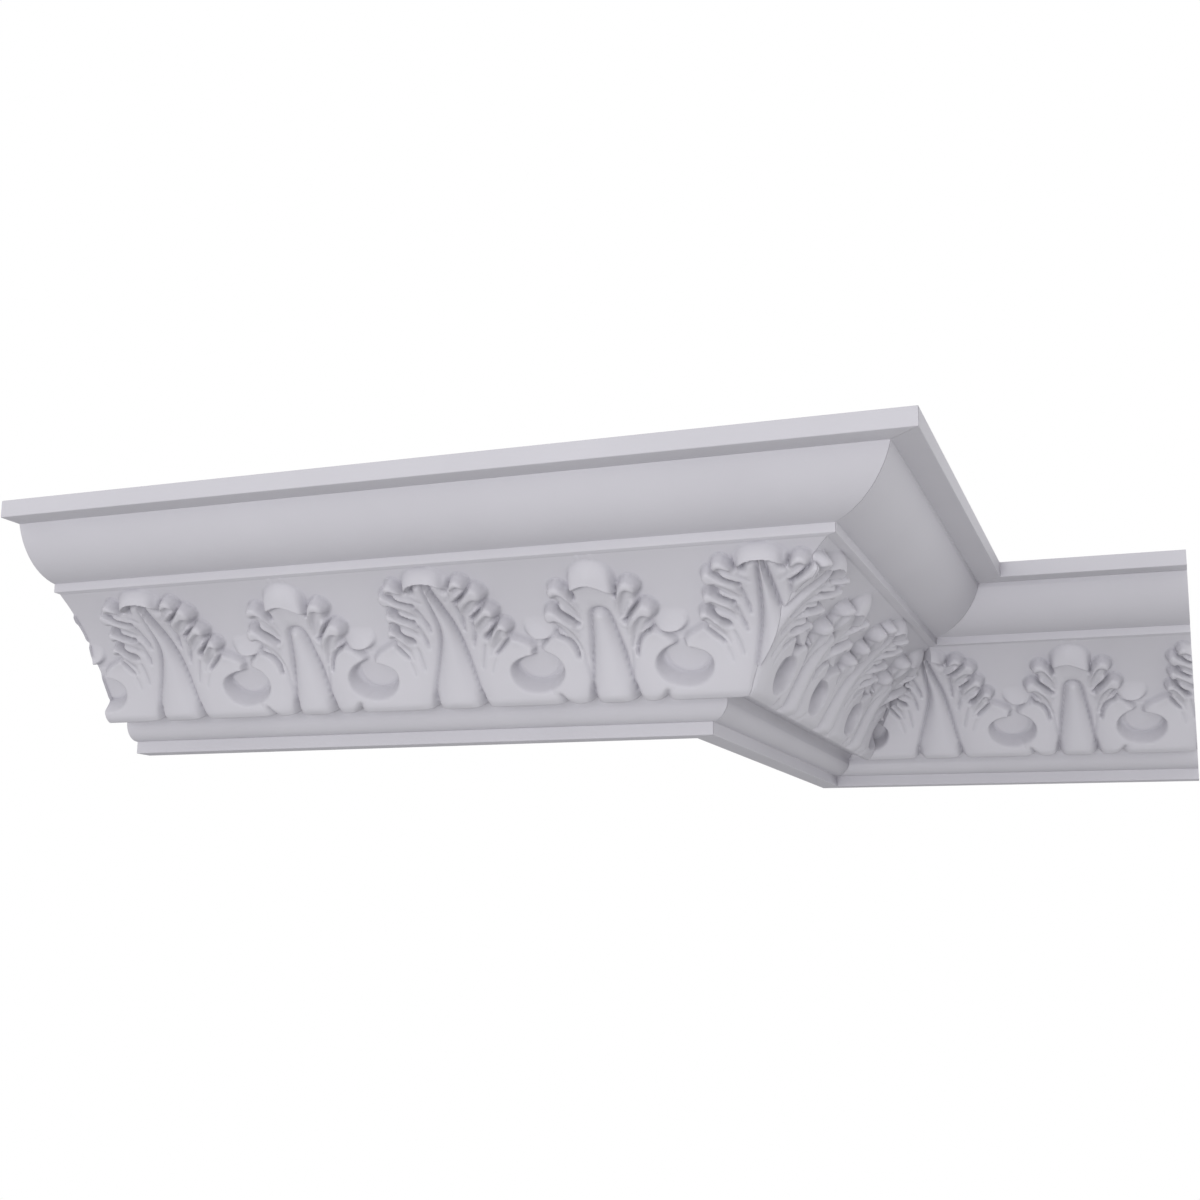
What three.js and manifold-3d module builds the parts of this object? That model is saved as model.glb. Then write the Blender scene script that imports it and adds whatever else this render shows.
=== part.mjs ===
// Crown moulding with a leaf, egg and dart frieze, in three mitred lengths.
// Millimetres, +Z up. The lengths stand on the underside of their bottom fillet.
import * as THREE from "three";
import Module from "manifold-3d";

// Run of the walls behind the moulding
const FRONT_WALL = 433;
const RETURN_WALL = 380;
const REAR_WALL = 310.5;
const JOINT_GAP = 0.3;

// Profile, as projection from the wall and drop below the ceiling
const PROJECTION = 178;
const HEIGHT = 152.6;
const TOP_FILLET_DROP = 11.7;
const OVOLO_TOP = 159.8;
const OVOLO_DROP = 33.5;
const OVOLO_RADIUS = 46.3;
const OVOLO_STEPS = 6;
const MIDDLE_FILLET = 120;
const MIDDLE_FILLET_DROP = 6;
const FRIEZE_TOP = 113.6;
const FRIEZE_SLOPE = THREE.MathUtils.degToRad(51.4);
const FRIEZE_UNDERSIDE = 79.9;
const QUARTER_ROUND = 13;
const QUARTER_ROUND_STEPS = 3;
const QUIRK = 1;
const BOTTOM_FILLET = 15.5;
const BOTTOM_FILLET_RISE = 8.7;
const WALL_LANDING = 35;
const CEILING_LANDING = 50;

// Hollow of the frieze and the rise of the leaf skirt below the eggs
const HOLLOW_DEPTH = 10.6;
const HOLLOW_REACH = 60;
const SKIRT_TOP = 66;
const SKIRT_MIDDLE = 86;
const SKIRT_RISE_TOP = 5.6;
const SKIRT_RISE_BOTTOM = 12.2;
const SKIRT_BOTTOM = 97;
const FRIEZE_STEP = 20;

// Rhythm of the carving
const REPEAT = 220;
const OUTSIDE_LEAF = 71;
const INSIDE_LEAF = 110.5;

// Eggs
const EGG_OFFSET = 51;
const EGG_DROP = 81;
const EGG_HALF_WIDTH = 18.6;
const EGG_HALF_HEIGHT = 13;
const EGG_SIDES = 8;
const BUTTON_RADIUS = 11.8;
const BUTTON_DROP = 77.5;
const BUTTON_HEIGHT = 1.6;
const NOTCH_HALF_WIDTH = 2;
const NOTCH_TOP = 59;

// Leaves. A lobe runs from its root to its tip, as [across from the leaf's middle, drop]
const LOBE_ARC = 3;
const LOBE_LOW = 4.6;
const LOBE_HIGH = 8.6;
const ROOT_SINK = 2;
const LARGE_LEAF = {
  lobes: [
    { root: [11, 31], tip: [28, 8], half: 6 },
    { root: [14, 40], tip: [37.5, 18.5], half: 6.4 },
    { root: [18, 50], tip: [41.5, 36], half: 5.6 },
    { root: [23, 64], tip: [45, 48], half: 5.8 },
  ],
  body: { top: 10, topHalf: 9, shoulder: 58, shoulderHalf: 36, bottomHalf: 60, riseTop: 6.5, waist: 42, waistHalf: 24 },
  rib: { top: 12, topHalf: 2, bottomHalf: 17 },
  hood: { top: 0.5, half: 15, lip: 13, lipSide: 17.5, rise: 11.5 },
};
const SMALL_LEAF = {
  lobes: [
    { root: [10, 52], tip: [24.5, 21], half: 7.4 },
    { root: [15, 66], tip: [34.5, 38], half: 7.6 },
  ],
  body: { top: 16, topHalf: 9, shoulder: 56, shoulderHalf: 25, bottomHalf: 47, riseTop: 5, waist: 38, waistHalf: 15 },
  rib: { top: 40, topHalf: 4.5, bottomHalf: 13.6 },
  hood: { top: 4.5, half: 14.5, lip: 21, lipSide: 29, rise: 11 },
  tongue: { root: [34, 42], tip: [46.5, 55.5], half: 10, rise: 7.2 },
};
const RIB_RISE = 0.9;
const GROOVE_WIDTH = 1.9;
const GROOVE_DEPTH = 2.8;

const wasm = await Module();
wasm.setup();

const DOWN = [-Math.cos(FRIEZE_SLOPE), -Math.sin(FRIEZE_SLOPE)];
const OUT = [Math.sin(FRIEZE_SLOPE), -Math.cos(FRIEZE_SLOPE)];
const FRIEZE_DROP = TOP_FILLET_DROP + OVOLO_DROP + MIDDLE_FILLET_DROP;

// Rise of the hollow's surface above the slope of the frieze, at a drop down that slope
function hollow(drop) {
  const share = Math.min(drop, HOLLOW_REACH) / HOLLOW_REACH;
  return -HOLLOW_DEPTH * (1 - (1 - share) ** 2);
}

function skirtRise(drop) {
  const share = THREE.MathUtils.clamp((drop - SKIRT_TOP) / (SKIRT_BOTTOM - SKIRT_TOP), 0, 1);
  return THREE.MathUtils.lerp(SKIRT_RISE_TOP, SKIRT_RISE_BOTTOM, share);
}

// A point on the frieze, as [projection, place along the run, height below the ceiling]
function friezePoint(along, drop, rise) {
  const out = hollow(drop) + rise;
  return [
    FRIEZE_TOP + DOWN[0] * drop + OUT[0] * out,
    along,
    -FRIEZE_DROP + DOWN[1] * drop + OUT[1] * out,
  ];
}

function toSolid(points, triangles) {
  let volume = 0;
  for (let i = 0; i < triangles.length; i += 3) {
    const [a, b, c] = [0, 1, 2].map((k) => new THREE.Vector3(...points[triangles[i + k]]));
    volume += a.dot(b.cross(c));
  }
  const facing = volume < 0 ? triangles.slice().reverse() : triangles;
  return new wasm.Manifold(new wasm.Mesh({
    numProp: 3,
    vertProperties: new Float32Array(points.flat()),
    triVerts: new Uint32Array(facing),
  }));
}

// A closed solid through a row of rings of equal count, each end closed by a fan
function loft(rings) {
  const count = rings[0].length;
  const last = (rings.length - 1) * count;
  const triangles = [];
  for (let ring = 0; ring < rings.length - 1; ring++) {
    for (let i = 0; i < count; i++) {
      const next = (i + 1) % count;
      const near = ring * count;
      const far = near + count;
      triangles.push(near + i, near + next, far + next, near + i, far + next, far + i);
    }
  }
  for (let i = 1; i < count - 1; i++) {
    triangles.push(0, i + 1, i, last, last + i, last + i + 1);
  }
  return toSolid(rings.flat(), triangles);
}

// A half round rising from the frieze, square across the direction of travel
function archRing(centre, side, half, rise) {
  const ring = [];
  const place = (across, up) => friezePoint(centre[0] + side[0] * across, centre[1] + side[1] * across, up);
  for (let i = 0; i <= LOBE_ARC; i++) {
    const angle = (Math.PI * i) / LOBE_ARC;
    ring.push(place(half * Math.cos(angle), rise * Math.sin(angle)));
  }
  ring.push(place(-half, -ROOT_SINK), place(half, -ROOT_SINK));
  return ring;
}

// Each station is [share of the way, share of the width, share of the rise]
const LOBE_STATIONS = [[0, 0.5, 0.5], [0.6, 0.85, 0.55], [0.7, 1, 1], [1, 0.7, 0.7]];
const TONGUE_STATIONS = [[0, 0.7, 0.5], [0.5, 1, 1], [1, 0.6, 0.7]];

function lump(middle, way, root, tip, half, rise, stations) {
  const from = new THREE.Vector2(way * root[0], root[1]);
  const to = new THREE.Vector2(way * tip[0], tip[1]);
  const side = to.clone().sub(from).normalize().rotateAround(new THREE.Vector2(), Math.PI / 2);
  return loft(stations.map(([share, width, height]) => {
    const centre = from.clone().lerp(to, share);
    return archRing([middle + centre.x, centre.y], [side.x, side.y], half * width, rise * height);
  }));
}

// The leaf's blade, from under its hood down to the foot of the frieze
function blade(middle, body) {
  const stations = [
    [body.top, body.topHalf, body.riseTop],
    [body.waist, body.waistHalf, LOBE_LOW],
    [body.shoulder, body.shoulderHalf, LOBE_LOW + 0.4],
    [SKIRT_TOP, body.bottomHalf, SKIRT_RISE_TOP],
    [SKIRT_TOP + 6, body.bottomHalf, SKIRT_RISE_TOP - 1],
  ];
  return loft(stations.map(([drop, half, rise]) => [
    friezePoint(middle + half, drop, 0),
    friezePoint(middle + half * 0.88, drop, rise * 0.75),
    friezePoint(middle + half * 0.5, drop, rise),
    friezePoint(middle - half * 0.5, drop, rise),
    friezePoint(middle - half * 0.88, drop, rise * 0.75),
    friezePoint(middle - half, drop, 0),
    friezePoint(middle - half, drop, -ROOT_SINK),
    friezePoint(middle + half, drop, -ROOT_SINK),
  ]));
}

// The midrib, and the channel that it stands in
function ribLoft(middle, leaf, extra, floor, rise) {
  const bottom = SKIRT_BOTTOM + 12;
  const steps = 3;
  const rings = [];
  for (let i = 0; i <= steps; i++) {
    const share = i / steps;
    const drop = THREE.MathUtils.lerp(leaf.rib.top, bottom, share);
    const half = THREE.MathUtils.lerp(leaf.rib.topHalf, leaf.rib.bottomHalf, share ** 1.25) + extra;
    const surface = drop < SKIRT_TOP ? LOBE_LOW + 0.4 : skirtRise(drop);
    rings.push([
      friezePoint(middle + half, drop, surface + floor),
      friezePoint(middle + half * 0.6, drop, surface + rise),
      friezePoint(middle - half * 0.6, drop, surface + rise),
      friezePoint(middle - half, drop, surface + floor),
      friezePoint(middle - half, drop, surface - GROOVE_DEPTH),
      friezePoint(middle + half, drop, surface - GROOVE_DEPTH),
    ]);
  }
  return loft(rings);
}

// The tip of the leaf, rolled forward into a lip
function hood(middle, { top, half, lip, lipSide, rise }) {
  const shares = [0.04, 0.4, 1];
  return loft(shares.map((share) => {
    const ring = [];
    const dome = Math.sqrt(1 - (1 - share) ** 2);
    for (let i = 0; i <= LOBE_ARC + 1; i++) {
      const angle = (Math.PI * i) / (LOBE_ARC + 1);
      const across = Math.cos(angle) * (0.55 + 0.45 * dome);
      const end = THREE.MathUtils.lerp(lip, lipSide, Math.abs(across) ** 1.5);
      const drop = THREE.MathUtils.lerp(top, end, share);
      ring.push(friezePoint(middle + half * across, drop, rise * dome * Math.sin(angle)));
    }
    const width = half * (0.55 + 0.45 * dome);
    const drop = THREE.MathUtils.lerp(top, lipSide, share);
    ring.push(friezePoint(middle - width, drop, -ROOT_SINK), friezePoint(middle + width, drop, -ROOT_SINK));
    return ring;
  }));
}

function roundPrism(middle, drop, halfWidth, halfHeight, low, high) {
  return loft([low, high].map((rise) => {
    const ring = [];
    for (let i = 0; i < EGG_SIDES; i++) {
      const angle = (2 * Math.PI * i) / EGG_SIDES;
      const flat = rise - hollow(drop + halfHeight * Math.sin(angle)) + hollow(drop);
      ring.push(friezePoint(middle + halfWidth * Math.cos(angle), drop + halfHeight * Math.sin(angle), flat));
    }
    return ring;
  }));
}

const CUT_HIGH = 24;

function eggRecess(middle) {
  const recess = roundPrism(middle, EGG_DROP, EGG_HALF_WIDTH, EGG_HALF_HEIGHT, 0.2, CUT_HIGH);
  const notch = loft([0.2, CUT_HIGH].map((rise) => [
    friezePoint(middle - NOTCH_HALF_WIDTH, NOTCH_TOP, rise),
    friezePoint(middle + NOTCH_HALF_WIDTH, NOTCH_TOP, rise),
    friezePoint(middle + NOTCH_HALF_WIDTH * 2, EGG_DROP - EGG_HALF_HEIGHT * 0.8, rise),
    friezePoint(middle - NOTCH_HALF_WIDTH * 2, EGG_DROP - EGG_HALF_HEIGHT * 0.8, rise),
  ]));
  return recess.add(notch);
}

function eggButton(middle) {
  return roundPrism(middle, BUTTON_DROP, BUTTON_RADIUS, BUTTON_RADIUS, -ROOT_SINK, BUTTON_HEIGHT);
}

// Convex arc from one profile point to the next, bulging away from the wall
function arc(from, to, radius, steps) {
  const chord = new THREE.Vector2(to[0] - from[0], to[1] - from[1]);
  const middle = new THREE.Vector2(from[0] + to[0], from[1] + to[1]).multiplyScalar(0.5);
  const inward = new THREE.Vector2(chord.y, -chord.x).normalize();
  const centre = middle.addScaledVector(inward, Math.sqrt(radius ** 2 - chord.lengthSq() / 4));
  const start = Math.atan2(from[1] - centre.y, from[0] - centre.x);
  const end = Math.atan2(to[1] - centre.y, to[0] - centre.x);
  const points = [];
  for (let i = 0; i <= steps; i++) {
    const angle = THREE.MathUtils.lerp(start, end, i / steps);
    points.push([centre.x + radius * Math.cos(angle), centre.y + radius * Math.sin(angle)]);
  }
  return points;
}

// The quarter round under the frieze, from its underside down to the top of the bottom fillet
function quarterRound(underside, fillet) {
  const points = [];
  for (let i = 0; i <= QUARTER_ROUND_STEPS; i++) {
    const angle = (Math.PI / 2) * (i / QUARTER_ROUND_STEPS);
    const out = BOTTOM_FILLET + QUIRK + QUARTER_ROUND * Math.cos(angle);
    points.push([out, THREE.MathUtils.lerp(underside, fillet, Math.sin(angle))]);
  }
  return points;
}

// Where the skirt's face reaches the underside of the frieze
function skirtFoot() {
  const out = (FRIEZE_UNDERSIDE + DOWN[1] * SKIRT_BOTTOM) / -OUT[1];
  return [FRIEZE_TOP + DOWN[0] * SKIRT_BOTTOM + OUT[0] * out, -FRIEZE_DROP - FRIEZE_UNDERSIDE];
}

function profile() {
  const ovoloEnd = -TOP_FILLET_DROP - OVOLO_DROP;
  const fillet = -HEIGHT + BOTTOM_FILLET_RISE;
  const underside = -FRIEZE_DROP - FRIEZE_UNDERSIDE;
  const points = [
    [PROJECTION, 0],
    [PROJECTION, -TOP_FILLET_DROP],
    ...arc([OVOLO_TOP, -TOP_FILLET_DROP], [MIDDLE_FILLET, ovoloEnd], OVOLO_RADIUS, OVOLO_STEPS),
    [MIDDLE_FILLET, -FRIEZE_DROP],
  ];
  for (let drop = 0; drop < SKIRT_TOP; drop += FRIEZE_STEP) {
    const [out, , up] = friezePoint(0, drop, 0);
    points.push([out, up]);
  }
  points.push(...[[SKIRT_TOP - 1, 0], [SKIRT_TOP, SKIRT_RISE_TOP], [SKIRT_MIDDLE, skirtRise(SKIRT_MIDDLE)]]
    .map(([drop, rise]) => friezePoint(0, drop, rise))
    .map(([out, , up]) => [out, up]));
  points.push(
    skirtFoot(),
    ...quarterRound(underside, fillet),
    [BOTTOM_FILLET, fillet],
    [BOTTOM_FILLET, -HEIGHT],
    [0, -HEIGHT],
    [0, -HEIGHT + WALL_LANDING],
    [PROJECTION - CEILING_LANDING, 0],
  );
  return points;
}

// The plain run of the profile, along Y from one end to the other
function plainRun(from, to) {
  const outline = profile().map(([out, up]) => new THREE.Vector2(out, up));
  if (THREE.ShapeUtils.isClockWise(outline)) outline.reverse();
  const section = outline.map(({ x, y }) => [x, y]);
  const faces = THREE.ShapeUtils.triangulateShape(outline, []);
  const count = section.length;
  const points = [from, to].flatMap((along) => section.map(([out, up]) => [out, along, up]));
  const triangles = [];
  for (const [a, b, c] of faces) {
    triangles.push(a, c, b, a + count, b + count, c + count);
  }
  for (let i = 0; i < count; i++) {
    const next = (i + 1) % count;
    triangles.push(i, next, next + count, i, next + count, i + count);
  }
  return toSolid(points, triangles);
}

function union(solids) {
  return solids.reduce((whole, next) => whole.add(next));
}

// Leaves and eggs added to a plain run, with a large leaf's middle at a given place
function carve(run, from, to, leafAt) {
  const spacing = REPEAT / 2;
  const first = Math.floor((from - leafAt) / spacing) - 1;
  const last = Math.ceil((to - leafAt) / spacing) + 1;
  const leaves = [];
  const channels = [];
  const ribs = [];
  const recesses = [];
  const buttons = [];
  for (let i = first; i <= last; i++) {
    const middle = leafAt + i * spacing;
    const large = i % 2 === 0;
    const leaf = large ? LARGE_LEAF : SMALL_LEAF;
    leaves.push(blade(middle, leaf.body), hood(middle, leaf.hood));
    channels.push(ribLoft(middle, leaf, GROOVE_WIDTH, GROOVE_DEPTH, GROOVE_DEPTH * 2));
    ribs.push(ribLoft(middle, leaf, 0, -GROOVE_DEPTH / 2, RIB_RISE));
    for (const way of [-1, 1]) {
      for (const lobe of leaf.lobes) {
        leaves.push(lump(middle, way, lobe.root, lobe.tip, lobe.half, LOBE_HIGH, LOBE_STATIONS));
      }
      if (!large) {
        const { root, tip, half, rise } = leaf.tongue;
        leaves.push(lump(middle, way, root, tip, half, rise, TONGUE_STATIONS));
        recesses.push(eggRecess(middle + way * EGG_OFFSET));
        buttons.push(eggButton(middle + way * EGG_OFFSET));
      }
    }
  }
  const underside = -FRIEZE_DROP - FRIEZE_UNDERSIDE;
  const aboveUnderside = prism([[0, from], [PROJECTION, from], [PROJECTION, to], [0, to]], underside, 0);
  return run
    .add(union(leaves))
    .subtract(union(recesses))
    .subtract(union(channels))
    .add(union([...ribs, ...buttons]).intersect(aboveUnderside));
}

// An upright block over a plan, given as [projection, place along the run]
function prism(plan, low, high) {
  return loft([low, high].map((up) => plan.map(([out, along]) => [out, along, up])));
}

const mouldingMaterial = new THREE.MeshStandardMaterial({
  color: 0xc6c4cb,
  roughness: 0.7,
  metalness: 0,
  flatShading: true,
});

// One length of moulding, cut by its two ends. Each end is the place where it meets the wall and
// the way in which it runs out from there: 0 for a square cut, 1 or -1 for a mitre.
function mouldingLength(name, [startAt, startLean], [endAt, endLean], leafAt) {
  const reach = PROJECTION + CUT_HIGH;
  const mitreGap = JOINT_GAP / Math.SQRT2;
  const start = (out) => startAt + startLean * out + Math.abs(startLean) * mitreGap;
  const end = (out) => endAt + endLean * out - Math.abs(endLean) * mitreGap;
  const from = Math.min(start(-CUT_HIGH), start(reach));
  const to = Math.max(end(-CUT_HIGH), end(reach));
  const plan = [
    [-CUT_HIGH, start(-CUT_HIGH)],
    [reach, start(reach)],
    [reach, end(reach)],
    [-CUT_HIGH, end(-CUT_HIGH)],
  ];
  const keep = prism(plan, -HEIGHT - CUT_HIGH, CUT_HIGH);
  const carved = carve(plainRun(from - 1, to + 1), from - 1, to + 1, leafAt).intersect(keep);
  // A crumb of leaf that a mitre cuts loose falls away
  const [solid] = carved.decompose().sort((a, b) => b.volume() - a.volume());
  const { vertProperties, triVerts } = solid.getMesh();
  const geometry = new THREE.BufferGeometry();
  geometry.setAttribute("position", new THREE.BufferAttribute(new Float32Array(vertProperties), 3));
  geometry.setIndex(new THREE.BufferAttribute(new Uint32Array(triVerts), 1));
  geometry.computeVertexNormals();
  const mesh = new THREE.Mesh(geometry, mouldingMaterial.clone());
  mesh.name = name;
  return mesh;
}

const front = mouldingLength("front_length", [-FRONT_WALL, 0], [0, 1], OUTSIDE_LEAF);
front.rotation.z = -Math.PI / 2;

const sideReturn = mouldingLength("return_length", [0, -1], [RETURN_WALL, -1], -OUTSIDE_LEAF);

const rear = mouldingLength("rear_length", [0, 1], [REAR_WALL, 0], INSIDE_LEAF);
rear.rotation.z = -Math.PI / 2;
rear.position.y = RETURN_WALL;

// The origin is below the middle of the moulding's plan, at the height of its underside
const moulding = new THREE.Group();
moulding.add(front, sideReturn, rear);
moulding.position.set((FRONT_WALL - REAR_WALL) / 2, (PROJECTION - RETURN_WALL) / 2, HEIGHT);

const model = new THREE.Group();
model.add(moulding);

export default model;
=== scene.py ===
import math

import bmesh
import bpy
import numpy as np
from mathutils import Matrix, Vector


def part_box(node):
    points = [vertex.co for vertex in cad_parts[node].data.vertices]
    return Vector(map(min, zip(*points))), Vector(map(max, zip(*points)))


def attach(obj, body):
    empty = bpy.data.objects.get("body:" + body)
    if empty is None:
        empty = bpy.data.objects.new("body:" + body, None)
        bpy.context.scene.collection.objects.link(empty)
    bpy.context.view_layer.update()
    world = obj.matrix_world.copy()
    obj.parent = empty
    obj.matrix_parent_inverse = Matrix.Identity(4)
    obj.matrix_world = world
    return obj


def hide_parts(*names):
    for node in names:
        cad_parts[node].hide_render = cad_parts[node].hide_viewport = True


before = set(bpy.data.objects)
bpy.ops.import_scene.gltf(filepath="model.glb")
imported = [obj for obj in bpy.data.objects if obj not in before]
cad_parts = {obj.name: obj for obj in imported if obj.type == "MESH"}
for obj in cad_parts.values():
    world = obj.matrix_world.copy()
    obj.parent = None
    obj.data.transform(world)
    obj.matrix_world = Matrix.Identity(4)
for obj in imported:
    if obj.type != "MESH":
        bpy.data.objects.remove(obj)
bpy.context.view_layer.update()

# Plain members of the moulding
# Cast polyurethane foam in one length: a square top fillet, a deep convex ovolo, a middle fillet
# over the hollow frieze, then a quarter round and a bottom fillet. Its back stands off the corner.
MM = 0.001
front_low, front_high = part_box("front_length")
return_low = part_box("return_length")[0]
rear_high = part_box("rear_length")[1]
height = front_high.z / MM
projection = (front_high.y - front_low.y) / MM

top_fillet_drop = 11.7
ovolo_top = 159.8
ovolo_radius = 46.3
ovolo_steps = 26
middle_fillet = 120.0
middle_fillet_top = 45.2
frieze_drop = 51.2
frieze_top = 113.6
frieze_underside = 79.9
quarter_round = 14.0
quarter_round_quirk = 1.0
quarter_round_steps = 12
bottom_fillet = 15.5
bottom_fillet_rise = 8.7
wall_landing = 35.0
ceiling_landing = 50.0
arris = 0.7
fine_arris = 0.5
arris_steps = 3


def arc_points(start, end, radius, steps):
    """Convex arc between two profile points, as [projection, height]."""
    start, end = np.array(start), np.array(end)
    chord = end - start
    inward = np.array([chord[1], -chord[0]]) / np.linalg.norm(chord)
    centre = (start + end) / 2 + inward * math.sqrt(radius**2 - chord @ chord / 4)
    first = math.atan2(*(start - centre)[::-1])
    last = math.atan2(*(end - centre)[::-1])
    return [
        (centre[0] + radius * math.cos(angle), centre[1] + radius * math.sin(angle))
        for angle in np.linspace(first, last, steps + 1)
    ]


def softened(before, corner, after, radius=arris):
    """A cast arris: the corner eased by a small curve between its two sides."""
    corner = np.array(corner, float)
    into = np.array(before, float) - corner
    out = np.array(after, float) - corner
    near = corner + into / np.linalg.norm(into) * radius
    far = corner + out / np.linalg.norm(out) * radius
    share = np.linspace(0, 1, arris_steps + 1)[:, None]
    curve = (1 - share) ** 2 * near + 2 * share * (1 - share) * corner + share**2 * far
    return [tuple(point) for point in curve]


def members_above():
    """From the ceiling landing's front arris down to the middle fillet's lower arris."""
    landing_back = (projection - ceiling_landing, 0)
    top = (projection, 0)
    nose = (projection, -top_fillet_drop)
    inner = (ovolo_top, -top_fillet_drop)
    foot = (middle_fillet, -middle_fillet_top)
    lower = (middle_fillet, -frieze_drop)
    curve = arc_points(inner, foot, ovolo_radius, ovolo_steps)
    return (
        softened(landing_back, top, nose)
        + softened(top, nose, inner)
        + curve[:-1]
        + softened(curve[-2], foot, lower, fine_arris)
        + softened(foot, lower, (frieze_top, -frieze_drop))
    )


def members_below():
    """From the underside of the frieze down to the bottom fillet, then up the back."""
    under = -frieze_drop - frieze_underside
    fillet = -height + bottom_fillet_rise
    round_foot = bottom_fillet + quarter_round_quirk
    round_reach = quarter_round - quarter_round_quirk
    round_points = [
        (round_foot + round_reach * math.cos(angle), under + (fillet - under) * math.sin(angle))
        for angle in np.linspace(0, math.pi / 2, quarter_round_steps + 1)
    ]
    upper = (bottom_fillet, fillet)
    lower = (bottom_fillet, -height)
    back_foot = (0, -height)
    back = [back_foot, (0, -height + wall_landing), (projection - ceiling_landing, 0)]
    return (
        round_points
        + softened(round_points[-1], upper, lower, fine_arris)
        + softened(upper, lower, back_foot)
        + back
    )


# Carved frieze
# Acanthus leaves, large and small in turn, are cast with the hollow frieze. Each has a midrib, a
# tip rolled over into a hood, and side lobes rolled at their ends; round egg recesses lie between.
frieze_slope = math.radians(51.4)
down = np.array([-math.cos(frieze_slope), -math.sin(frieze_slope)])
outward = np.array([math.sin(frieze_slope), -math.cos(frieze_slope)])
frieze_length = 110.0
hollow_depth = 10.6
hollow_reach = 60.0
carving_start = 1.2
leaf_repeat = 220.0
egg_offset = 51.0

lobe_root_height = 6.0
lobe_tip_height = 11.2
eyelet_ring_height = 0.9
eyelet_ring_width = 0.9
lip_bead_height = 0.7
lip_bead_rise = 1.3
lip_bead_width = 1.2
edge_roll = 6.0
belly_height = 0.9
rib_groove_inside = 1.3
rib_groove_outside = 1.9
rib_valley_reach = 8.0
rib_valley_depth = 2.2
rib_round = 5.6

large_rib_height = 2.6
large_groove_depth = 4.6
large_narrow_side = 0.07
large_hood_half = 14.9
large_hood_top = 0.2
large_hood_shoulder = 9.0
large_hood_height = 11.2
large_lip = 10.0
large_lip_droop = 8.0
large_lip_shadow = 3.0
large_pocket_depth = 4.4

small_rib_height = 2.8
small_rib_end = 46.0
small_rib_end_radius = 5.6
small_groove_depth = 3.8
small_neck_height = 6.4
small_neck_half = 12.5
small_neck_foot = 30.0
small_hood_half = 14.8
small_hood_top = 4.6
small_hood_shoulder = 12.0
small_hood_height = 10.6
small_lip = 20.5
small_lip_crest = -2.5

# The tables are in millimetres. Body, edge, rib and lean give the blade's height, the blade's half
# width, the midrib's half width and the lean at places down the frieze. Lobes, palms and slits are
# curves of three points, each out from the leaf's middle and down. After its curve a lobe has its
# half widths at root and tip, a palm has those at head and tail and its depth, and a slit has its
# width and depth. An eyelet is a place, a radius and a depth.
LARGE_LEAF = {
    "body": [
        (0, 0), (7, 2.5), (14, 5.6), (20, 6.0), (30, 5.6), (40, 5.2), (50, 5.2),
        (60, 5.6), (70, 7.0), (80, 9.0), (90, 11.3), (98, 13.0), (112, 13.5),
    ],
    "edge": [
        (0, 10), (10, 18), (20, 26), (30, 31), (40, 35), (50, 39), (56, 43),
        (60, 51), (64, 57.5), (68, 60.5), (72, 61.5), (88, 62), (95, 72), (112, 75),
    ],
    "rib": [
        (8, 0.9), (18, 1.6), (28, 2.8), (38, 4.0), (50, 5.6),
        (62, 8.0), (75, 11.2), (88, 14.6), (98, 16.8), (112, 18.2),
    ],
    "lean": [
        (0, 2.8), (14, 2.7), (30, 0.8), (48, -1.8), (66, -1.5), (85, -0.2), (98, 0.4), (112, 0.4),
    ],
    "dish": 3.4,
    "lobes": [
        ([(12, 34), (17, 22), (24.8, 13.6)], 3.8, 5.6),
        ([(14, 47), (20, 31), (32.0, 21.8)], 5.0, 6.8),
        ([(17, 60), (25, 44), (35.4, 36.8)], 5.0, 5.9),
        ([(24, 71), (32, 56), (40.6, 48.9)], 3.6, 5.2),
    ],
    "palms": [
        ([(24.6, 16.6), (19, 18.0), (9.5, 27)], 2.9, 1.2, 4.0),
        ([(31.0, 29.0), (23, 31), (13, 45)], 4.0, 1.6, 4.0),
        ([(34.8, 41.4), (26, 45), (17.5, 58)], 3.5, 1.6, 4.0),
        ([(40.2, 51.6), (35, 57), (28.5, 68)], 2.8, 1.4, 3.6),
    ],
    "slits": [
        ([(16.4, 18), (17.0, 12), (21, 4)], 1.2, 8.0),
        ([(17.0, 27.2), (26.5, 22.0), (34, 13)], 1.0, 7.0),
        ([(22.6, 40.0), (33, 34.5), (41, 23)], 1.0, 7.0),
        ([(31.5, 51.5), (38.5, 46.5), (42.5, 34)], 1.1, 7.5),
        ([(26.8, 56.6), (28.6, 55), (31.5, 52)], 1.5, 7.5),
        ([(32, 68), (42, 59.5), (49, 48)], 1.2, 5.0),
        ([(15.8, 29), (14.4, 38), (12.8, 50)], 1.4, 2.8),
        ([(21.6, 42), (19.4, 50), (16.8, 62)], 1.3, 2.4),
        ([(21, 77), (22.0, 70), (25, 61)], 1.2, 1.6),
        ([(28, 80), (29.0, 75), (32, 69)], 1.4, 0.9),
    ],
    "eyelets": [
        ((16.2, 28.0), 1.3, 4.5),
        ((21.8, 40.9), 1.3, 4.5),
    ],
}
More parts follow.
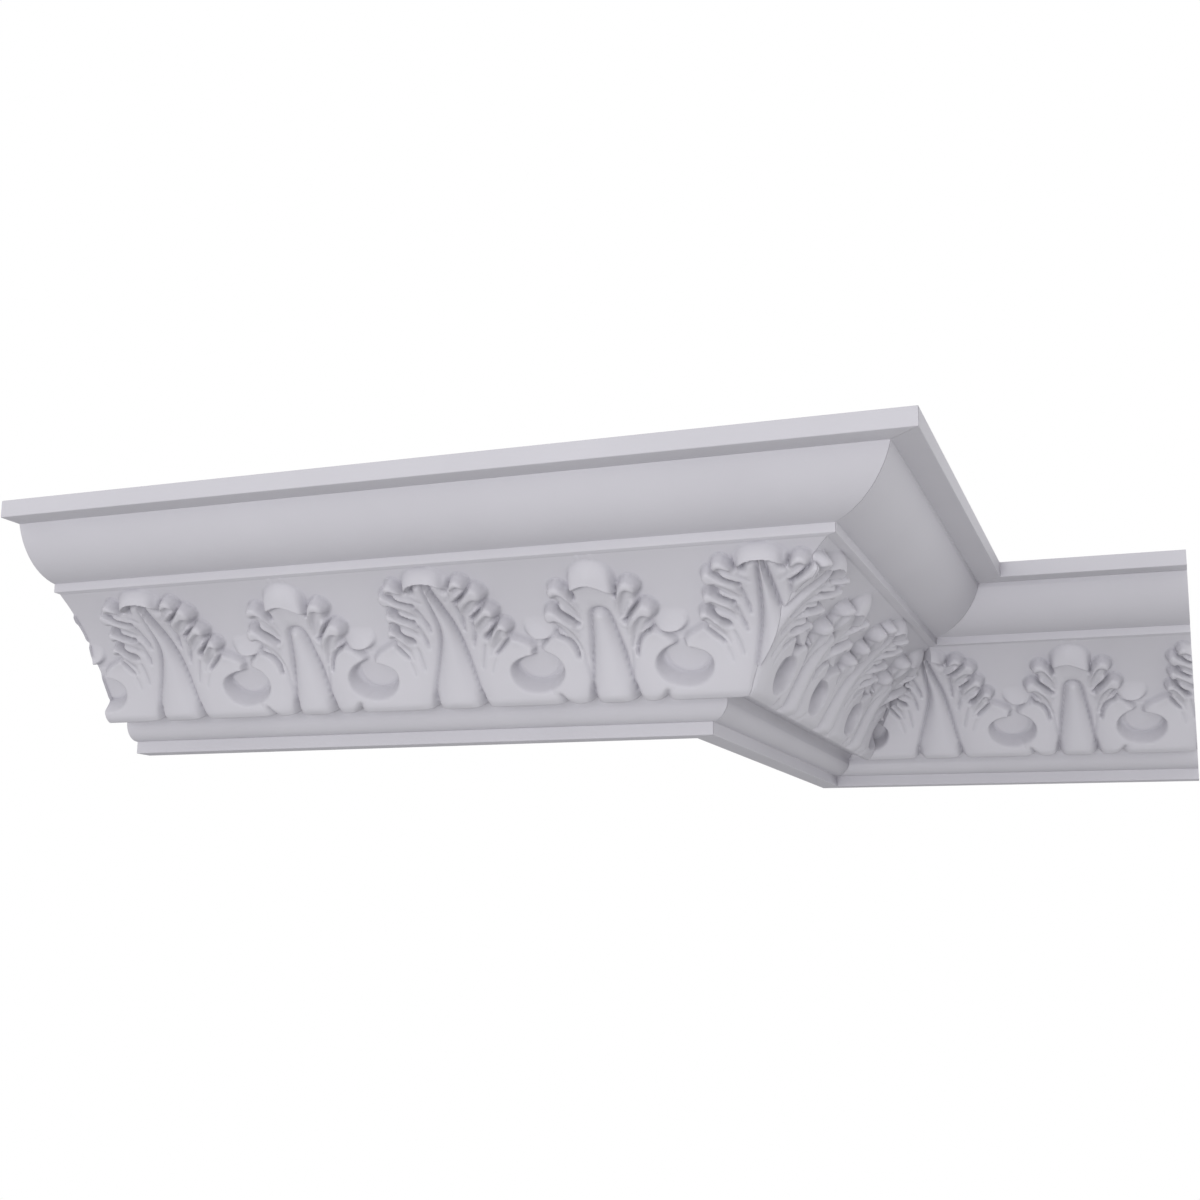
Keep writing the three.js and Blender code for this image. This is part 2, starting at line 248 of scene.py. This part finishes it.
SMALL_LEAF = {
    "body": [
        (0, 0), (10, 0.2), (20, 5.0), (30, 5.4), (40, 5.2), (50, 5.2),
        (60, 5.8), (70, 7.0), (80, 9.0), (90, 11.3), (98, 13.0), (112, 13.5),
    ],
    "edge": [
        (0, 6), (12, 8), (20, 15), (27, 22), (34, 26), (42, 29), (50, 31),
        (57, 34), (61, 40), (65, 45), (69, 47), (90, 47), (98, 44), (112, 42),
    ],
    "rib": [
        (38, 3.0), (42, 4.8), (50, 6.6), (60, 8.1), (75, 10.5), (90, 12.8), (98, 14.2), (112, 15.6),
    ],
    "dish": 2.4,
    "lobes": [
        ([(14, 52), (16, 36), (24.0, 25.0)], 4.2, 6.5),
        ([(18, 72), (19, 53), (30.8, 42.8)], 4.4, 6.8),
    ],
    "palms": [
        ([(23.0, 30.0), (17.5, 36), (14.0, 49)], 4.6, 1.8, 4.6),
        ([(29.6, 50.0), (22.5, 54), (18.5, 68)], 5.0, 2.0, 4.8),
    ],
    "slits": [
        ([(14.0, 31), (14.8, 25), (17.0, 15)], 1.2, 8.0),
        ([(16.4, 49.5), (23, 41.5), (31.5, 33)], 1.1, 7.0),
        ([(19.8, 74), (21, 61), (31, 58.2)], 1.2, 5.5),
        ([(28, 58.6), (38, 55.5), (41.5, 44)], 1.2, 7.0),
        ([(14.5, 86), (15.5, 72), (19.5, 62)], 1.2, 1.4),
    ],
    "eyelets": [
        ((16.0, 50.3), 1.3, 3.5),
    ],
}


# In the functions of the carving, x runs along the moulding, u is the distance to the side of a
# leaf's middle, s runs down the frieze's slope, and h is a height above the hollow.
def ramp(value, start, end):
    """Eases from 0 at the start to 1 at the end."""
    t = np.clip((value - start) / (end - start), 0, 1)
    return t * t * (3 - 2 * t)


def blend_up(a, b, reach):
    """The higher of two heights, with the valley between them filled a little."""
    near = np.maximum(reach - np.abs(a - b), 0) / reach
    return np.maximum(a, b) + near * near * reach * 0.25


def through(s, points):
    """Reads a table at s, on a smooth curve through its points."""
    places = np.array([point[0] for point in points], float)
    values = np.array([point[1] for point in points], float)
    slopes = np.gradient(values, places)
    i = np.clip(np.searchsorted(places, s) - 1, 0, len(places) - 2)
    span = places[i + 1] - places[i]
    t = np.clip((s - places[i]) / span, 0, 1)
    return (
        (2 * t**3 - 3 * t**2 + 1) * values[i]
        + (t**3 - 2 * t**2 + t) * span * slopes[i]
        + (-2 * t**3 + 3 * t**2) * values[i + 1]
        + (t**3 - t**2) * span * slopes[i + 1]
    )


def hollow(s):
    """The frieze's own hollow, behind the carving: deepest at its reach and level from there."""
    return -hollow_depth * (1 - (1 - np.minimum(s, hollow_reach) / hollow_reach) ** 2)


def place_on_curve(u, s, path, steps=10):
    """The share of the way along a curve, and the distance from it, for every point."""
    (u0, s0), (u1, s1), (u2, s2) = path
    t = np.linspace(0, 1, steps + 1)
    curve_u = (1 - t) ** 2 * u0 + 2 * t * (1 - t) * u1 + t * t * u2
    curve_s = (1 - t) ** 2 * s0 + 2 * t * (1 - t) * s1 + t * t * s2
    nearest = np.full(u.shape, np.inf)
    share = np.zeros(u.shape)
    for k in range(steps):
        step_u = curve_u[k + 1] - curve_u[k]
        step_s = curve_s[k + 1] - curve_s[k]
        length = np.hypot(step_u, step_s)
        part = ((u - curve_u[k]) * step_u + (s - curve_s[k]) * step_s) / length / length
        part = np.clip(part, 0, 1)
        distance = np.hypot(u - curve_u[k] - part * step_u, s - curve_s[k] - part * step_s)
        closer = distance < nearest
        nearest = np.where(closer, distance, nearest)
        share = np.where(closer, (k + part) / steps, share)
    return share, nearest


def lobe(u, s, path, root, tip):
    """One side lobe, a blunt finger that rises towards its tip."""
    t, near = place_on_curve(u, s, path)
    half = root + (tip - root) * t**0.8
    crown = lobe_root_height + (lobe_tip_height - lobe_root_height) * ramp(t, 0.15, 0.8)
    return crown * np.sqrt(np.clip(1 - (near / half) ** 4.5, 0, 1)) * ramp(t, -0.01, 0.25)


def palm(u, s, path, head, tail, depth):
    """The palm of a lobe: deep under the rolled lip at its head, shallower towards the midrib."""
    t, near = place_on_curve(u, s, path)
    half = head + (tail - head) * t
    walls = np.clip(1 - (near / half) ** 4, 0, 1) ** 0.8
    return depth * walls * (1 - 0.8 * ramp(t, 0.1, 1.0))


def slit(u, s, path, width, depth):
    """A slit along a curve, narrowing at its ends."""
    t, near = place_on_curve(u, s, path)
    half = width * (0.35 + 0.65 * np.sin(np.pi * np.clip(t, 0.02, 0.98)) ** 0.5)
    return depth * np.exp(-((near / half) ** 2))


def eyelet(u, s, place, radius, depth):
    """The drilled end of a slit, with a slight raised ring."""
    distance = np.hypot(u - place[0], s - place[1])
    ring = np.exp(-(((distance - 2.1 * radius) / eyelet_ring_width) ** 2))
    return depth * np.exp(-((distance / radius) ** 2)) - eyelet_ring_height * ring


def hood(x, s, half, top, shoulder, high, lip):
    """The leaf's tip, a domed cap that swells down to an overhanging lip with a slight bead."""
    across = np.clip(np.abs(x) / half, 0, 1)
    start = top + shoulder * (1 - np.sqrt(1 - across**2))
    fall = np.clip((s - start) / (lip - start), 0, 1)
    bead = lip_bead_height * np.exp(-(((s - lip + lip_bead_rise) / lip_bead_width) ** 2))
    face = high * (1 - (1 - fall) ** 1.7) ** 0.8 + bead
    return face * (1 - across**12) ** 0.5 * (1 - ramp(s, lip - 0.2, lip + 0.6)) * (np.abs(x) < half)


def blade(u, s, leaf):
    """Height of a leaf without its rib and hood, then its own body's height and its rib's half width."""
    body = through(s, leaf["body"])
    edge = through(s, leaf["edge"])
    rib = through(s, leaf["rib"])
    inside = np.clip((edge - u) / edge_roll, 0, 1)
    belly = np.sin(np.pi * np.clip((u - rib) / (edge - rib), 0, 1))
    dish = leaf["dish"] * ramp(u / edge, 0.5, 0.95) * ramp(s, 10, 18) * (1 - ramp(s, 50, 66))
    h = (body + belly_height * belly + dish) * np.sqrt(1 - (1 - inside) ** 2.2)
    for path, root, tip in leaf["lobes"]:
        h = np.maximum(h, lobe(u, s, path, root, tip))
    for path, head, tail, depth in leaf["palms"]:
        h = h - palm(u, s, path, head, tail, depth)
    for path, width, depth in leaf["slits"]:
        h = h - slit(u, s, path, width, depth)
    for place, radius, depth in leaf["eyelets"]:
        h = h - eyelet(u, s, place, radius, depth)
    return np.maximum(h, 0), body, rib


def rib_groove(gap):
    """The narrow groove beside a midrib, by the distance from the rib's side."""
    return np.exp(-(np.where(gap < 0, gap / rib_groove_inside, gap / rib_groove_outside) ** 2))


def rib_valley(gap):
    """The wide shallow valley beside a midrib."""
    return np.exp(-((np.maximum(gap, 0) / rib_valley_reach) ** 2))


def large_leaf(x, s, leaning):
    """Height of a large leaf above the hollow. Where leaning is 1 it leans and is narrower on one side."""
    x = x + leaning * through(s, LARGE_LEAF["lean"])
    u = np.abs(x) * (1 + large_narrow_side * leaning * (x < 0) * (1 - ramp(s, 52, 72)))
    h, body, rib = blade(u, s, LARGE_LEAF)
    gap = u - rib
    groove = rib_groove(gap) * ramp(s, 9, 12)
    valley = rib_valley(gap) * (0.5 + 0.5 * ramp(s, 45, 72))
    h = h - large_groove_depth * groove * (1 - 0.3 * ramp(s, 40, 80)) - rib_valley_depth * valley
    crown = body + large_rib_height - rib_round * np.clip(u / rib, 0, 1) ** 2.2
    h = np.where(gap < 0, np.maximum(h, crown), h)
    lip = large_lip + large_lip_droop * np.minimum(u / large_hood_half, 1) ** 3
    under_lip = np.exp(-(((s - lip - 1.6) / 1.9) ** 2)) * (1 - ramp(u, 12.5, 15)) * ramp(gap, -0.6, 1.0)
    pocket = np.exp(-(((u - 12.5) / 2.6) ** 2 + ((s - 17) / 3.4) ** 2))
    h = h - large_lip_shadow * under_lip
    h = h - large_pocket_depth * pocket
    tip = hood(x, s, large_hood_half, large_hood_top, large_hood_shoulder, large_hood_height, lip)
    return np.maximum(h, tip)


def small_leaf(x, s):
    """Height of a small leaf above the hollow. Its midrib starts in a round end below a plain neck."""
    u = np.abs(x)
    h, body, rib = blade(u, s, SMALL_LEAF)
    neck_end = (np.maximum(s - small_neck_foot, 0) / 10.5) ** 3
    neck = small_neck_height * np.sqrt(np.clip(1 - (u / small_neck_half) ** 2.5 - neck_end, 0, 1))
    h = blend_up(h, neck * ramp(s, 12, 22), 0.8)
    above_rib = s < small_rib_end
    from_end = np.hypot(u, s - small_rib_end)
    gap = np.where(above_rib, from_end - small_rib_end_radius, u - rib)
    groove = rib_groove(gap) * ramp(s, 37, 40.5)
    valley = rib_valley(gap) * ramp(s, 55, 76)
    h = h - small_groove_depth * groove - rib_valley_depth * valley
    share = np.where(above_rib, np.clip(from_end / small_rib_end_radius, 0, 1), np.clip(u / rib, 0, 1))
    crown = body + small_rib_height - rib_round * share**2.2
    h = np.where(gap < 0, np.maximum(h, crown), h)
    left = x < small_lip_crest
    across = np.where(left, (small_lip_crest - x) / 12.0, (x - small_lip_crest) / 17.0)
    lip = small_lip + np.where(left, 4.0, 9.0) * np.clip(across, 0, 1) ** 1.3
    tip = hood(x, s, small_hood_half, small_hood_top, small_hood_shoulder, small_hood_height, lip)
    return np.maximum(h, tip)


egg_down = 81.3
egg_half_width = 19.3
egg_half_height = 13.4
egg_disc_down = 77.5
egg_disc_height = 0.8
notch_offset = 2.2
tongue_middle = 44.0
tongue_half = 11.4
tongue_lip = 52.0
tongue_hang = 8.8
tongue_height = 7.8


def egg_recess(h, e, s):
    """Cuts an egg's round recess, and the corner and notch above it, and leaves a low disc in it.

    The distance e is from the egg's middle towards the large leaf.
    """
    far_side = np.where(e > 0, 1.0, 0.0)
    half_height = egg_half_height - 3.2 * far_side * (1 - ramp(s, 72, 84))
    rim = np.hypot(e / (egg_half_width - 2.2 * far_side), (s - egg_down) / half_height)
    slope = ramp(s, 76, 92)
    h = h * ramp(rim, 0.92 - 0.16 * slope, 1.05 + 0.03 * slope)
    corner = np.hypot((e + 2.6) / 3.6, (s - 69.2) / 3.0)
    h = h * ramp(corner, 0.85, 1.1)
    notch = np.exp(-(((e + notch_offset) / 1.6) ** 4)) * (1 - ramp(s, 69, 72)) * ramp(s, 56, 60)
    h = h * (1 - notch)
    disc = 1 - ramp(np.hypot(e / 1.08, s - egg_disc_down), 12.4, 13.6)
    return np.maximum(h, egg_disc_height * disc)


def tongue(us, s):
    """Height of the crescent tongue above each egg recess, us away from the small leaf's middle."""
    side = np.minimum(np.abs(us - tongue_middle) / tongue_half, 1)
    lower_lip = tongue_lip + tongue_hang * np.sqrt(1 - side**2.2)
    swell = np.sqrt(1 - side**2.6) * np.clip(1 - (61.0 - s) / 19.0, 0, 1) ** 1.9
    return tongue_height * swell * (1 - ramp(s, lower_lip - 1.0, lower_lip + 0.6))


# A millimetre down the slope falls by slope_fall, and a millimetre out from it by slope_stand.
slope_fall = 0.7816
slope_stand = 0.6237
foot_gap_place = 36.5
foot_gap_down = 97.0
foot_reach = 8.0
foot_fall = 4.6
foot_lift = 0.6
shadow_gap = 4.0
foot_ease = 8.0
rib_foot_width = 2.2
rib_foot_depth = 3.0
blade_foot_width = 1.8
blade_foot_depth = 1.4
feet_from = 100.0


def leaf_feet(h, big, us, s):
    """Rounds the leaves' feet over the quarter round, with grooves between and a shadow gap below."""
    large_gap = np.abs(big) - through(s, LARGE_LEAF["rib"])
    small_gap = us - through(s, SMALL_LEAF["rib"])
    blade_gap = us - foot_gap_place + 0.35 * (s - foot_gap_down)
    corner_gap = np.minimum(np.minimum(np.abs(large_gap), np.abs(small_gap)), np.abs(blade_gap))
    foot = foot_fall * (1 - (1 - np.minimum(corner_gap / foot_reach, 1)) ** 2) - foot_lift
    lowest = frieze_underside + foot * (1 - ramp(s, 105, 109)) - shadow_gap * ramp(s, 104.5, 109)
    limit = (lowest - slope_fall * s) / slope_stand - hollow(s)
    near = np.maximum(foot_ease - np.abs(h - limit), 0) / foot_ease
    h = np.minimum(h, limit) - near * near * foot_ease * 0.25 * (1 - ramp(s, 103, 108))
    beside_rib = np.exp(-((large_gap / rib_foot_width) ** 2)) + np.exp(-((small_gap / rib_foot_width) ** 2))
    between = np.exp(-((blade_gap / blade_foot_width) ** 2)) * ramp(s, 95.5, 98)
    grooves = rib_foot_depth * beside_rib * ramp(s, 90, 98) + blade_foot_depth * between
    h = h - grooves * (1 - ramp(s, 106, 109.5))
    return np.where(s < feet_from, np.maximum(h, 0), h)


def relief(x, s, leaf_at, corner_leaf):
    """Height of all the carving above the hollow, along the run and down the frieze.

    A large leaf has its middle at leaf_at. A corner leaf there is folded round the outside corner
    and stands straight, while the others lean.
    """
    half = leaf_repeat / 2
    big = (x - leaf_at + half) % leaf_repeat - half
    small = (x - leaf_at) % leaf_repeat - half
    us = np.abs(small)
    leaning = np.where((np.abs(x - leaf_at) < half) & corner_leaf, 0.0, 1.0)
    h = np.maximum(large_leaf(big, s, leaning), small_leaf(small, s))
    h = egg_recess(h, us - egg_offset, s)
    h = np.maximum(h, tongue(us, s))
    return leaf_feet(h, big, us, s)


def frieze_points(run, drop, leaf_at, corner_leaf):
    """Rows of carved points, as projection and height for each place along the run."""
    rise = relief(run, drop, leaf_at, corner_leaf)
    rise = (2 * rise + np.roll(rise, 1, 1) + np.roll(rise, -1, 1)) / 4
    rise[1:-1] = (rise[:-2] + 2 * rise[1:-1] + rise[2:]) / 4
    out = hollow(drop) + rise * ramp(drop, 0.0, carving_start)
    return (
        frieze_top + down[0] * drop + outward[0] * out,
        -frieze_drop + down[1] * drop + outward[1] * out,
    )


# Three lengths
# The front length, the short return and the rear length are sawn from the same moulding. They
# meet at an outside and an inside mitre with a hairline glue joint, and the free ends are square.
front_wall = front_high.y
rear_wall = rear_high.y
corner_x = return_low.x
joint_gap = 0.3
frieze_row = 0.85
frieze_column = 0.82
past_mitre = 24.0
carved_past_mitre = 2.0
outside_leaf = 71.0
inside_leaf = 110.5
sharp_from = math.radians(48)


def moulding_mesh(name, start, end, carved_start, carved_end, leaf_at, corner_leaf):
    """One length with square ends, as points [projection, run, height] in millimetres."""
    carved = np.arange(carved_start, carved_end, frieze_column)
    columns = np.concatenate(([start] if start < carved_start else [], carved, [end]))
    rows = np.linspace(0, frieze_length, int(frieze_length / frieze_row) + 1)
    run, drop = np.meshgrid(columns, rows)
    out, up = frieze_points(run, drop, leaf_at, corner_leaf)
    count = len(columns)
    points = np.stack([out, run, up], -1).reshape(-1, 3).tolist()
    faces = []
    for row in range(len(rows) - 1):
        near = np.arange(count - 1) + row * count
        faces.extend(np.stack([near, near + 1, near + 1 + count, near + count], 1).tolist())
    plain = members_below() + members_above()[:-1]
    top_edge = list(range(count))
    bottom_edge = [i + (len(rows) - 1) * count for i in range(count)]
    first = len(points)
    for reach_out, rise in plain:
        points.append([reach_out, columns[0], rise])
        points.append([reach_out, columns[-1], rise])
    for i in range(len(plain) - 1):
        corner = first + 2 * i
        faces.append([corner, corner + 1, corner + 3, corner + 2])
    last = first + 2 * (len(plain) - 1)
    faces.append(bottom_edge + [first + 1, first])
    faces.append([last, last + 1] + top_edge[::-1])
    near_end = [i * count for i in range(len(rows))]
    near_end += [first + 2 * i for i in range(len(plain))]
    far_end = [i * count + count - 1 for i in range(len(rows))]
    far_end += [first + 2 * i + 1 for i in range(len(plain))]
    faces.append(near_end[::-1])
    faces.append(far_end)
    mesh = bpy.data.meshes.new(name)
    mesh.from_pydata(points, [], faces)
    return mesh


def saw_mitre(bm, corner_y, side):
    """Cuts the length at a corner of the wall, leaving half the joint's gap on this side."""
    normal = Vector((1, 1, 0)).normalized()
    place = Vector((corner_x, corner_y, 0)) + normal * (side * joint_gap * MM / 2)
    cut_away = bmesh.ops.bisect_plane(
        bm,
        geom=bm.verts[:] + bm.edges[:] + bm.faces[:],
        plane_co=place,
        plane_no=normal,
        dist=1e-6,
        clear_outer=side < 0,
        clear_inner=side > 0,
    )
    edges = [edge for edge in cut_away["geom_cut"] if isinstance(edge, bmesh.types.BMEdge)]
    bmesh.ops.triangle_fill(bm, edges=edges, use_beauty=False)


def length_of_moulding(name, node, mesh, turn, origin, mitres):
    """Sets one length in its place, saws its mitres and gives it its finish."""
    bm = bmesh.new()
    bm.from_mesh(mesh)
    bmesh.ops.transform(bm, matrix=Matrix.Translation(origin) @ turn @ Matrix.Scale(MM, 4), verts=bm.verts)
    for corner_y, side in mitres:
        saw_mitre(bm, corner_y, side)
    bmesh.ops.recalc_face_normals(bm, faces=bm.faces)
    bm.to_mesh(mesh)
    bm.free()
    mesh.polygons.foreach_set("use_smooth", np.ones(len(mesh.polygons), bool))
    mesh.set_sharp_from_angle(angle=sharp_from)
    mesh.materials.append(primer)
    piece = bpy.data.objects.new(name, mesh)
    bpy.context.scene.collection.objects.link(piece)
    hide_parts(node)
    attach(piece, "root")


# The primer is sprayed on thin: its tone and sheen drift a little over the length and it has a fine
# grain. The creases of the carving are darkened in the colour, as painted shade.
primer_drift_scale = 9.0
primer_dark = (0.525, 0.515, 0.557, 1)
primer_pale = (0.552, 0.542, 0.585, 1)
# The tone that the creases are darkened by, as painted shade.
painted_shade_in_crease = (0.70, 0.70, 0.72, 1)
primer_glossiest = 0.58
primer_dullest = 0.72
primer_grain_scale = 900.0
primer_grain_height = 0.0003
mix_factor, mix_first, mix_second, mix_colour = 0, 6, 7, 2

primer = bpy.data.materials.new("matte_primer")
primer.use_nodes = True
primer_nodes = primer.node_tree.nodes
primer_links = primer.node_tree.links
primer_shader = primer_nodes["Principled BSDF"]
primer_shader.inputs["Specular IOR Level"].default_value = 0.3

primer_place = primer_nodes.new("ShaderNodeTexCoord")
primer_cloud = primer_nodes.new("ShaderNodeTexNoise")
primer_cloud.inputs["Scale"].default_value = primer_drift_scale
primer_cloud.inputs["Detail"].default_value = 4.0
primer_links.new(primer_place.outputs["Object"], primer_cloud.inputs["Vector"])

primer_tone = primer_nodes.new("ShaderNodeValToRGB")
primer_tone.color_ramp.elements[0].position = 0.3
primer_tone.color_ramp.elements[0].color = primer_dark
primer_tone.color_ramp.elements[1].position = 0.7
primer_tone.color_ramp.elements[1].color = primer_pale
primer_links.new(primer_cloud.outputs["Fac"], primer_tone.inputs["Fac"])

primer_form = primer_nodes.new("ShaderNodeNewGeometry")
# Painted shade: where the surface is hollow (low pointiness) the colour is darkened towards the crease
# tone.
painted_crease_shade = primer_nodes.new("ShaderNodeValToRGB")
painted_crease_shade.color_ramp.elements[0].position = 0.40
painted_crease_shade.color_ramp.elements[0].color = painted_shade_in_crease
painted_crease_shade.color_ramp.elements[1].position = 0.50
painted_crease_shade.color_ramp.elements[1].color = (1, 1, 1, 1)
primer_links.new(primer_form.outputs["Pointiness"], painted_crease_shade.inputs["Fac"])

# Multiplies the primer's own tone by the painted crease shade.
primer_times_painted_shade = primer_nodes.new("ShaderNodeMix")
primer_times_painted_shade.data_type = "RGBA"
primer_times_painted_shade.blend_type = "MULTIPLY"
primer_times_painted_shade.inputs[mix_factor].default_value = 1.0
primer_links.new(primer_tone.outputs["Color"], primer_times_painted_shade.inputs[mix_first])
primer_links.new(painted_crease_shade.outputs["Color"], primer_times_painted_shade.inputs[mix_second])
primer_links.new(primer_times_painted_shade.outputs[mix_colour], primer_shader.inputs["Base Color"])

primer_sheen = primer_nodes.new("ShaderNodeMapRange")
primer_sheen.inputs["To Min"].default_value = primer_glossiest
primer_sheen.inputs["To Max"].default_value = primer_dullest
primer_links.new(primer_cloud.outputs["Fac"], primer_sheen.inputs["Value"])
primer_links.new(primer_sheen.outputs["Result"], primer_shader.inputs["Roughness"])

primer_grain = primer_nodes.new("ShaderNodeTexNoise")
primer_grain.inputs["Scale"].default_value = primer_grain_scale
primer_grain.inputs["Detail"].default_value = 3.0
primer_links.new(primer_place.outputs["Object"], primer_grain.inputs["Vector"])
primer_bump = primer_nodes.new("ShaderNodeBump")
primer_bump.inputs["Strength"].default_value = 0.12
primer_bump.inputs["Distance"].default_value = primer_grain_height
primer_links.new(primer_grain.outputs["Fac"], primer_bump.inputs["Height"])
primer_links.new(primer_bump.outputs["Normal"], primer_shader.inputs["Normal"])

along_x = Matrix.Rotation(-math.pi / 2, 4, "Z")
along_y = Matrix.Identity(4)
reach = projection + past_mitre
carved_reach = middle_fillet + carved_past_mitre
front_start = (front_low.x - corner_x) / MM
return_end = (rear_wall - front_wall) / MM
rear_end = (rear_high.x - corner_x) / MM
outside_corner = Vector((corner_x, front_wall, height * MM))
inside_corner = Vector((corner_x, rear_wall, height * MM))

front_mesh = moulding_mesh(
    "carved_front_length",
    start=front_start,
    end=reach,
    carved_start=front_start,
    carved_end=carved_reach,
    leaf_at=outside_leaf,
    corner_leaf=True,
)
return_mesh = moulding_mesh(
    "carved_return_length",
    start=-reach,
    end=return_end + past_mitre,
    carved_start=-carved_reach,
    carved_end=return_end,
    leaf_at=-outside_leaf,
    corner_leaf=True,
)
rear_mesh = moulding_mesh(
    "carved_rear_length",
    start=-past_mitre,
    end=rear_end,
    carved_start=0.0,
    carved_end=rear_end,
    leaf_at=inside_leaf,
    corner_leaf=False,
)
length_of_moulding(
    "carved_front_length", "front_length", front_mesh, along_x, outside_corner, [(front_wall, -1)]
)
length_of_moulding(
    "carved_return_length", "return_length", return_mesh, along_y, outside_corner,
    [(front_wall, 1), (rear_wall, -1)],
)
length_of_moulding(
    "carved_rear_length", "rear_length", rear_mesh, along_x, inside_corner, [(rear_wall, 1)]
)

# Floor and backdrop
# A plain light grey floor well below the moulding, out of the picture. The light that it throws
# back falls on the undersides. The surround is white.
floor_drop = 1.7
floor_size = 12
floor_grey = (0.45, 0.45, 0.45, 1)
bpy.ops.mesh.primitive_plane_add(size=floor_size, location=(0, 0, -floor_drop))
floor = bpy.context.object
floor.name = "floor"
floor_paint = bpy.data.materials.new("floor_paint")
floor_paint.use_nodes = True
floor_shader = floor_paint.node_tree.nodes["Principled BSDF"]
floor_shader.inputs["Base Color"].default_value = floor_grey
floor_shader.inputs["Roughness"].default_value = 0.9
floor.data.materials.append(floor_paint)

# Light
# Soft studio light: a white surround, a little brighter from above than from below, with one broad
# light in front and below the moulding, and a weaker one behind to the right.
light_above = 0.88
light_below = 0.68
horizon_band = 0.5
world = bpy.data.worlds.new("studio")
bpy.context.scene.world = world
world.use_nodes = True
tree = world.node_tree
surround = tree.nodes["Background"]
surround.inputs["Color"].default_value = (1, 1, 1, 1)
sky = tree.nodes.new("ShaderNodeTexCoord")
split = tree.nodes.new("ShaderNodeSeparateXYZ")
fall = tree.nodes.new("ShaderNodeMapRange")
fall.inputs["From Min"].default_value = -horizon_band
fall.inputs["From Max"].default_value = horizon_band
fall.inputs["To Min"].default_value = light_below
fall.inputs["To Max"].default_value = light_above
tree.links.new(sky.outputs["Generated"], split.inputs["Vector"])
tree.links.new(split.outputs["Z"], fall.inputs["Value"])
tree.links.new(fall.outputs["Result"], surround.inputs["Strength"])
seen = tree.nodes.new("ShaderNodeBackground")
seen.inputs["Color"].default_value = (1, 1, 1, 1)
seen.inputs["Strength"].default_value = 1.0
ray = tree.nodes.new("ShaderNodeLightPath")
choose = tree.nodes.new("ShaderNodeMixShader")
tree.links.new(ray.outputs["Is Camera Ray"], choose.inputs["Fac"])
tree.links.new(surround.outputs["Background"], choose.inputs[1])
tree.links.new(seen.outputs["Background"], choose.inputs[2])
tree.links.new(choose.outputs["Shader"], tree.nodes["World Output"].inputs["Surface"])


def softbox(name, place, target, size, power):
    """A round soft light at its place, turned to its target."""
    lamp = bpy.data.lights.new(name, "AREA")
    lamp.shape = "DISK"
    lamp.size = size
    lamp.energy = power
    box = bpy.data.objects.new(name, lamp)
    bpy.context.scene.collection.objects.link(box)
    box.location = place
    box.rotation_euler = (Vector(target) - Vector(place)).to_track_quat("-Z", "Y").to_euler()


softbox("front_softbox", place=(0.2, -2.75, -0.7), target=(0, 0, 0.08), size=1.6, power=36)
softbox("side_softbox", place=(1.2, 1.0, -0.1), target=(0.2, -0.1, 0.08), size=1.0, power=6)

# Camera
# The eye is low in front of the moulding and to the right of the corner, looking up and left.
# Its place is given from the outside corner of the wall, in millimetres.
picture_width = 1200
lens_in_pixels = 1540.70
sensor_width = 36
eye_right = 297.72
eye_before = 970.54
eye_drop = 275.13
yaw = math.radians(-20.750)
pitch = math.radians(11.9765)
roll = math.radians(0.7322)
eye = Vector((corner_x + eye_right * MM, front_wall - eye_before * MM, (height - eye_drop) * MM))
forward = Vector((math.sin(yaw) * math.cos(pitch), math.cos(yaw) * math.cos(pitch), math.sin(pitch)))
level = Vector((math.cos(yaw), -math.sin(yaw), 0))
above = level.cross(forward)
across = level * math.cos(roll) + above * math.sin(roll)
upward = above * math.cos(roll) - level * math.sin(roll)
camera_data = bpy.data.cameras.new("camera")
camera_data.sensor_width = sensor_width
camera_data.lens = sensor_width * lens_in_pixels / picture_width
camera_data.clip_start = 0.05
camera_data.clip_end = 100
camera = bpy.data.objects.new("camera", camera_data)
bpy.context.scene.collection.objects.link(camera)
facing = Matrix((across, upward, -forward)).transposed()
camera.matrix_world = Matrix.Translation(eye) @ facing.to_4x4()
bpy.context.scene.camera = camera
bpy.context.scene.view_settings.view_transform = "Standard"
